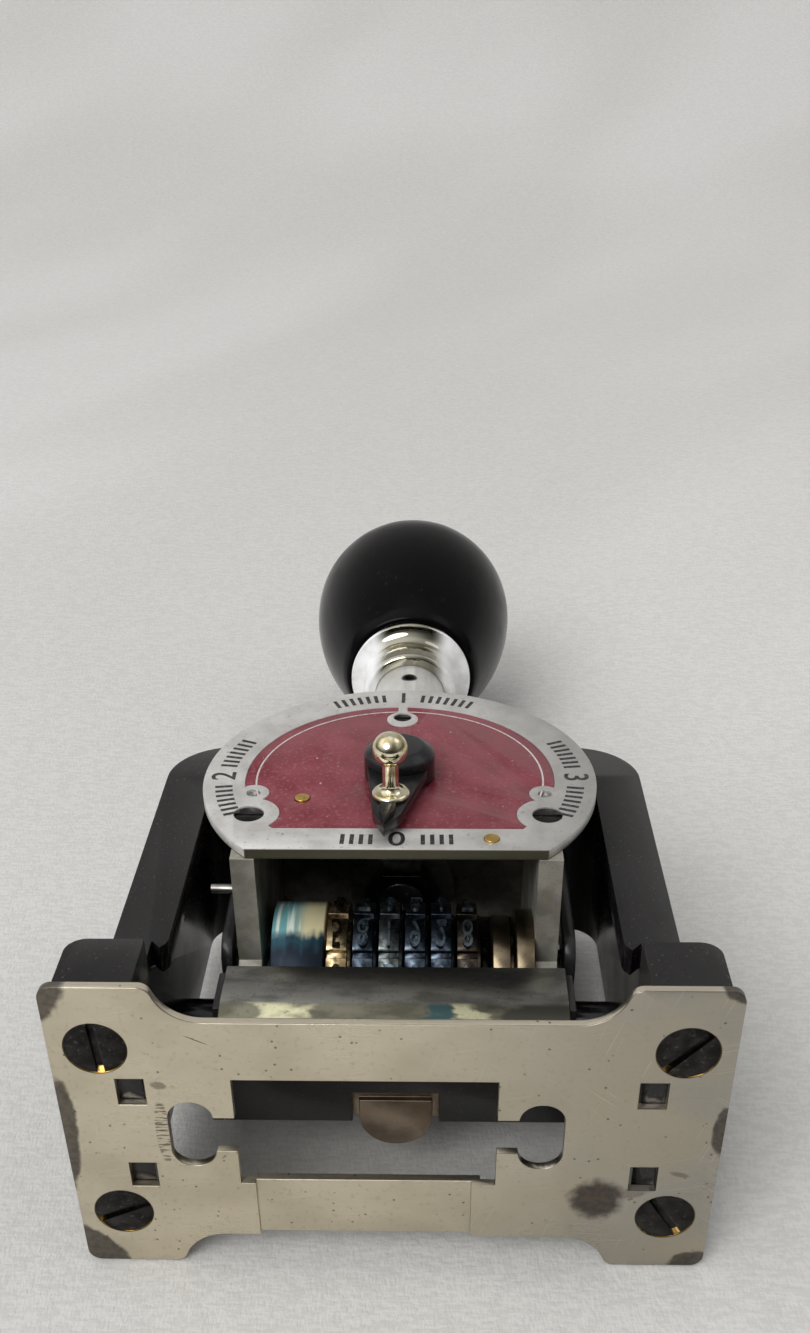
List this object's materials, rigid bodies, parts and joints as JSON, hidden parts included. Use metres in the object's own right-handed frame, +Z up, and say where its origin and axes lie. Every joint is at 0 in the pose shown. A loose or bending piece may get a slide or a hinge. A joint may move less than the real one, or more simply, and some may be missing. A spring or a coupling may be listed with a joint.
{
  "type": "numbering machine",
  "caption": "Hand-stroke numbering machine: an arch frame on a slotted base plate, a sliding head of figure wheels behind a round dial, a swinging ink pad and a ball handle.",
  "frame": {"origin": "where the plunger's axis meets the underside of the base plate, inside the print window", "axes": "+Z up along the plunger's axis, -Y out of the dial's face, +X to the right seen from the front"},
  "size_m": [0.07, 0.0506, 0.157],
  "materials": {
    "black_enamel": "gloss black enamel on cast iron",
    "worn_nickel": "worn nickel plate with fine scratches and rust spots",
    "blued_steel": "dark blued steel",
    "brass": "polished brass",
    "bright_steel": "ground steel",
    "satin_nickel": "satin nickel plate",
    "chrome": "polished chrome",
    "black_lacquer": "turned wood under gloss black lacquer",
    "black_rubber": "matt rubber",
    "crimson_enamel": "dusty crimson enamel in a sunk field",
    "wheel_steel": "engraved steel with ink stains",
    "ink_felt": "ink-soaked felt"
  },
  "bodies": {
    "stand": {"frame": "black_enamel", "base_plate": "worn_nickel", "base_screws": "blued_steel", "neck_bush": "brass", "key_screw": "blued_steel", "pivot_screws": "blued_steel"},
    "head": {"plunger_rod": "bright_steel", "stem_sleeve": "satin_nickel", "ferrule": "chrome", "handle": "black_lacquer", "main_spring": "bright_steel", "yoke_bridge": "bright_steel", "rod_nut": "blued_steel", "bumper_washer": "black_rubber", "left_cheek": "satin_nickel", "right_cheek": "satin_nickel", "cheek_screws": "blued_steel", "tie_bars": "bright_steel", "wheel_shaft": "bright_steel", "shaft_screws": "blued_steel", "filler_drum": "bright_steel", "spacer_collars": "bright_steel", "detent_comb": "blued_steel", "cam_studs": "bright_steel", "cheek_pin": "bright_steel", "dial_bracket": "bright_steel", "bracket_screws": "blued_steel", "dial_plate": "satin_nickel", "dial_field": "crimson_enamel", "dial_screws": "blued_steel", "dial_dowels": "satin_nickel", "dial_rivets": "brass"},
    "wheel_1": {"number_wheel_1": "wheel_steel"},
    "wheel_2": {"number_wheel_2": "wheel_steel"},
    "wheel_3": {"number_wheel_3": "wheel_steel"},
    "wheel_4": {"number_wheel_4": "wheel_steel"},
    "wheel_5": {"number_wheel_5": "wheel_steel"},
    "wheel_6": {"number_wheel_6": "wheel_steel"},
    "rocker": {"pawl_rocker": "blued_steel", "feed_pawl": "bright_steel"},
    "selector": {"indicator_hub": "black_enamel", "pointer": "black_enamel", "indicator_knob": "brass", "selector_cam": "bright_steel"},
    "inker": {"left_ink_arm": "black_enamel", "right_ink_arm": "black_enamel", "ink_tray": "black_enamel", "tray_front_plate": "satin_nickel"},
    "pad": {"pad_holder": "satin_nickel", "felt_pad": "ink_felt"}
  },
  "joints": [
    {"name": "plunger_slide", "type": "slide", "parent": "stand", "child": "head", "axis": [0, 0, -1], "range_m": [0, 0.0182], "stiffness_N_per_m": 400, "springref_m": -0.02, "deforming": ["main_spring"]},
    {"name": "wheel_1_spin", "type": "hinge", "parent": "head", "child": "wheel_1", "pos_m": [-0.0069, 0, 0.0277], "axis": [1, 0, 0], "continuous": true},
    {"name": "wheel_2_spin", "type": "hinge", "parent": "head", "child": "wheel_2", "pos_m": [-0.00383, 0, 0.0277], "axis": [1, 0, 0], "continuous": true},
    {"name": "wheel_3_spin", "type": "hinge", "parent": "head", "child": "wheel_3", "pos_m": [-0.00076, 0, 0.0277], "axis": [1, 0, 0], "continuous": true},
    {"name": "wheel_4_spin", "type": "hinge", "parent": "head", "child": "wheel_4", "pos_m": [0.00231, 0, 0.0277], "axis": [1, 0, 0], "continuous": true},
    {"name": "wheel_5_spin", "type": "hinge", "parent": "head", "child": "wheel_5", "pos_m": [0.00538, 0, 0.0277], "axis": [1, 0, 0], "continuous": true},
    {"name": "wheel_6_spin", "type": "hinge", "parent": "head", "child": "wheel_6", "pos_m": [0.00845, 0, 0.0277], "axis": [1, 0, 0], "continuous": true},
    {"name": "rocker_swing", "type": "hinge", "parent": "head", "child": "rocker", "pos_m": [0, 0, 0.0277], "axis": [-1, 0, 0], "range_deg": [0, 36.1]},
    {"name": "selector_turn", "type": "hinge", "parent": "head", "child": "selector", "pos_m": [0, -0.02, 0.042], "axis": [0, 1, 0], "range_deg": [0, 270]},
    {"name": "inker_swing", "type": "hinge", "parent": "stand", "child": "inker", "pos_m": [0, 0.0102, 0.031], "axis": [1, 0, 0], "range_deg": [0, 105]},
    {"name": "pad_slide", "type": "slide", "parent": "inker", "child": "pad", "axis": [0, 1, 0], "range_m": [0, 0.018]}
  ],
  "couplings": [
    {"joint": "inker_swing", "follows": "plunger_slide", "rad_per_m": 100.6},
    {"joint": "rocker_swing", "follows": "plunger_slide", "rad_per_m": 34.523}
  ]
}
